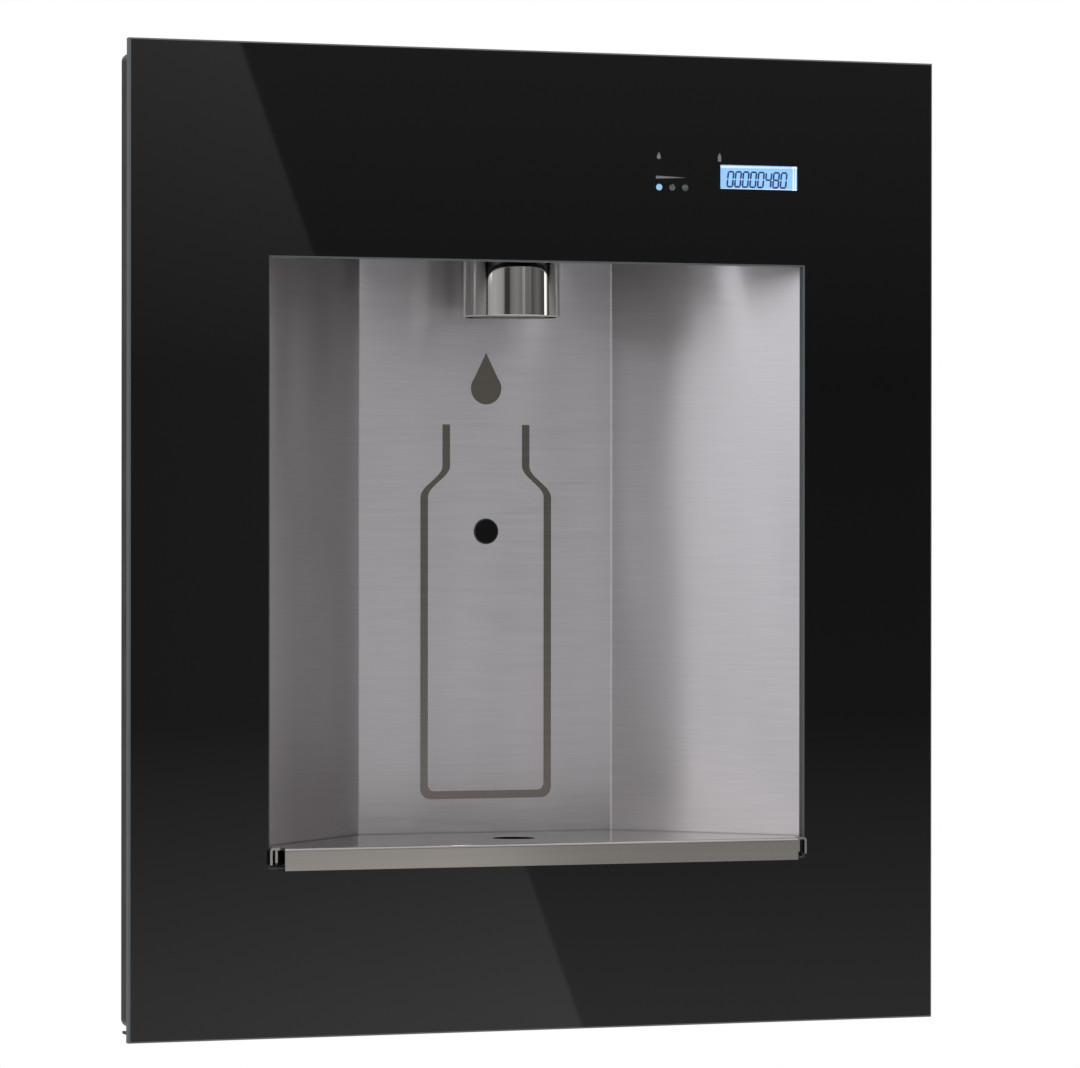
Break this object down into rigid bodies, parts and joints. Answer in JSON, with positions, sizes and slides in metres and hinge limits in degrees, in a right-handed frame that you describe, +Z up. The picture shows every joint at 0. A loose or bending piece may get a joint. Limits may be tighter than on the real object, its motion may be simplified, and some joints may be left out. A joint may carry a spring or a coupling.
{
  "type": "bottle filling station",
  "caption": "Wall-recessed bottle filling station: black glass front, brushed steel alcove, chrome nozzle, round sensor, lit counter and a pull-out drip tray.",
  "frame": {"origin": "on the wall's face, behind the centre of the glass and of the four wall screws", "axes": "+X to the right as the user sees it, +Y into the wall, +Z up"},
  "size_m": [0.425, 0.1287, 0.4955],
  "materials": {
    "black_glass": "back-painted black, polished",
    "clear_window": "clear",
    "black_frame": "black powder coat",
    "galvanised": "galvanised",
    "stainless": "fine brushed stainless",
    "tray_steel": "satin stainless",
    "mark_foil": "etched grey mark",
    "chrome": "polished chrome",
    "screw_steel": "zinc plated",
    "black_plastic": "moulded",
    "grey_plastic": "moulded",
    "ivory_plastic": "natural nylon",
    "white_plastic": "moulded",
    "lens_black": "infrared-clear window",
    "lit_panel": "backlit",
    "light_guide": "clear, lit",
    "board_green": "solder mask",
    "brass": "machined",
    "coil_blue": "moulded over the coil",
    "lever_blue": "dipped grip",
    "tube_clear": "polyethylene",
    "tube_blue": "polyethylene",
    "rubber": "moulded",
    "cable_black": "jacket",
    "ribbon_grey": "jacket"
  },
  "bodies": {
    "wall_unit": {"trim_frame": "black_frame", "wall_box": "galvanised", "box_bottom": "galvanised", "cross_rails": "galvanised", "frame_screws": "screw_steel", "alcove_liner": "stainless", "alcove_ceiling": "stainless", "basin_floor": "stainless", "fill_marks": "mark_foil", "nozzle_shroud": "chrome", "nozzle_body": "grey_plastic", "flow_straightener": "white_plastic", "nozzle_gasket": "rubber", "nozzle_nut": "ivory_plastic", "nozzle_elbow": "white_plastic", "sensor_housing": "black_plastic", "sensor_lens": "lens_black", "sensor_nut": "black_plastic", "solenoid_body": "brass", "solenoid_coil": "coil_blue", "plunger_spring": "screw_steel", "filter_head": "white_plastic", "filter_bracket": "galvanised", "isolation_valve": "brass", "inlet_union": "brass", "inlet_locknut": "brass", "inlet_tube": "tube_blue", "riser_tube": "tube_clear", "nozzle_tube": "tube_clear", "tube_clips": "black_plastic", "control_box": "grey_plastic", "control_cover": "grey_plastic", "control_board": "board_green", "power_supply": "black_plastic", "supply_grommet": "rubber", "display_bracket": "galvanised", "display_board": "board_green", "lcd_module": "lit_panel", "light_pipes": "light_guide", "waste_fitting": "stainless", "waste_gasket": "rubber", "waste_nut": "ivory_plastic", "waste_pipe": "white_plastic", "panel_catches": "ivory_plastic", "security_screws": "screw_steel", "sensor_cable": "cable_black", "solenoid_cable": "cable_black", "display_ribbon": "ribbon_grey"},
    "front_panel": {"glass_panel": "black_glass", "clear_windows": "clear_window", "panel_carrier": "black_frame", "panel_studs": "screw_steel", "opening_gasket": "rubber"},
    "drip_tray": {"tray_deck": "tray_steel", "tray_base": "tray_steel", "tray_pads": "rubber"},
    "filter_cartridge_unit": {"filter_cartridge": "white_plastic", "cartridge_seals": "rubber"},
    "valve_lever_unit": {"valve_lever": "lever_blue"},
    "plunger_unit": {"solenoid_plunger": "screw_steel"}
  },
  "joints": [
    {"name": "panel_pull", "type": "slide", "parent": "wall_unit", "child": "front_panel", "axis": [0, -1, 0], "range_m": [0, 0.12]},
    {"name": "tray_pull", "type": "slide", "parent": "front_panel", "child": "drip_tray", "axis": [0, -1, 0], "range_m": [0, 0.1]},
    {"name": "filter_turn", "type": "hinge", "parent": "wall_unit", "child": "filter_cartridge_unit", "pos_m": [0.138, 0.015, -0.19695], "axis": [1, 0, 0], "range_deg": [0, 90]},
    {"name": "valve_turn", "type": "hinge", "parent": "wall_unit", "child": "valve_lever_unit", "pos_m": [-0.15, 0.045, -0.2038], "axis": [0, 1, 0], "range_deg": [0, 90]},
    {"name": "plunger_stroke", "type": "slide", "parent": "wall_unit", "child": "plunger_unit", "axis": [0, 0, 1], "range_m": [0, 0.003], "stiffness_N_per_m": 300, "springref_m": -0.006, "deforming": ["plunger_spring"]}
  ]
}
